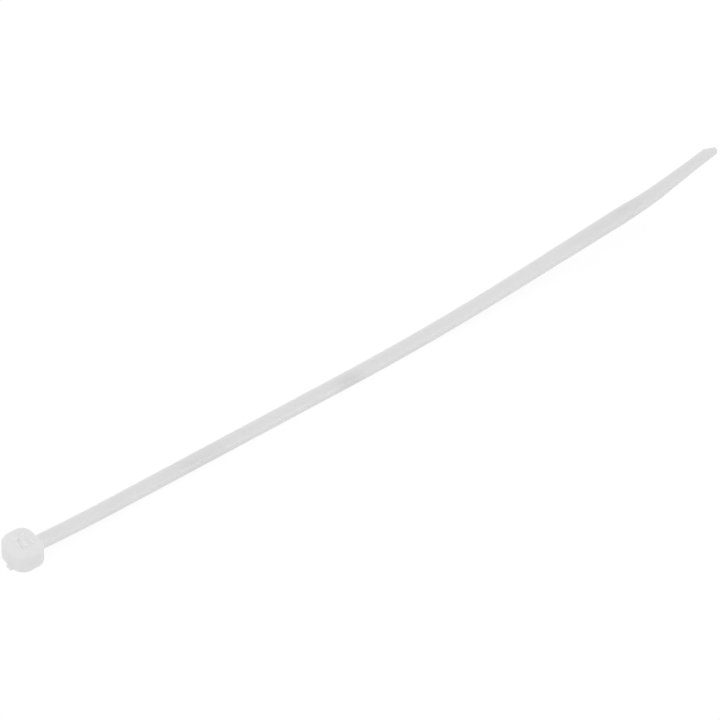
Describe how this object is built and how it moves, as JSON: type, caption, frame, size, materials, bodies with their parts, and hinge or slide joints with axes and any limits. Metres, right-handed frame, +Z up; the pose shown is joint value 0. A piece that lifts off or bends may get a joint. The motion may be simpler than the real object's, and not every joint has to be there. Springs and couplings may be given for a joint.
{
  "type": "cable tie",
  "caption": "Self-locking cable tie: a round-cornered head with a slot and a toothed pawl, and a long ratchet-toothed strap with a thin curled tail.",
  "frame": {"origin": "middle of the slot, level with the base of the head, on the surface the tie lies on", "axes": "+X from the head towards the tip of the strap, +Z up through the slot, the way the tail leaves it"},
  "size_m": [0.1467, 0.0068, 0.0087],
  "materials": {
    "nylon": "natural nylon as moulded, satin and slightly translucent"
  },
  "bodies": {
    "root": {"cable_tie": "nylon"}
  },
  "joints": []
}
